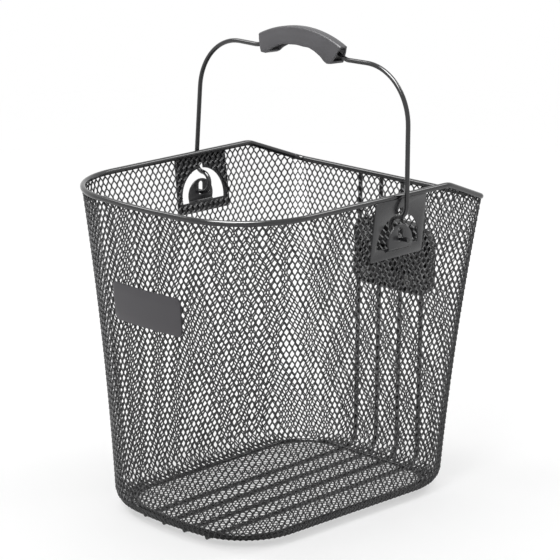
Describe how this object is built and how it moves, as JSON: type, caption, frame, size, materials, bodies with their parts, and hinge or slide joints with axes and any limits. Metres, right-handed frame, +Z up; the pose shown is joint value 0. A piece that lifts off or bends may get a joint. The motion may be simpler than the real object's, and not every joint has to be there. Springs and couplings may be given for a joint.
{
  "type": "handlebar basket",
  "caption": "Tapered expanded-metal handlebar basket with a rod rim, a swinging bail handle with grip and a slide-on mounting block on its back.",
  "frame": {"origin": "under the middle of the basket's outline, at the height of the support wires' underside", "axes": "+X across, +Y towards the handlebar, +Z up"},
  "size_m": [0.2568, 0.3232, 0.4105],
  "materials": {
    "mesh": "satin black powder coat",
    "rod": "semi-gloss black powder coat",
    "bracket": "satin black powder coat",
    "grip": "satin dark grey",
    "label": "satin dark grey",
    "adapter": "fine-grained black",
    "screw": "zinc plated"
  },
  "bodies": {
    "basket": {"rim": "rod", "mesh_back": "mesh", "mesh_back_right": "mesh", "mesh_back_left": "mesh", "mesh_right": "mesh", "mesh_left": "mesh", "mesh_corner_right_side": "mesh", "mesh_corner_left_side": "mesh", "mesh_corner_right_front": "mesh", "mesh_corner_left_front": "mesh", "mesh_front": "mesh", "floor_mesh": "mesh", "base_ring": "rod", "support_wire_1": "rod", "support_wire_2": "rod", "support_wire_3": "rod", "support_wire_4": "rod", "bracket_left": "bracket", "bracket_right": "bracket", "label_plate": "label", "adapter": "adapter", "clamp_strip_upper": "bracket", "clamp_strip_lower": "bracket", "adapter_screws": "screw"},
    "handle": {"bail": "rod", "grip": "grip"}
  },
  "joints": [
    {"name": "bail_swing", "type": "hinge", "parent": "basket", "child": "handle", "pos_m": [0, 0.02216, 0.2485], "axis": [1, 0, 0], "range_deg": [-67, 71]}
  ]
}
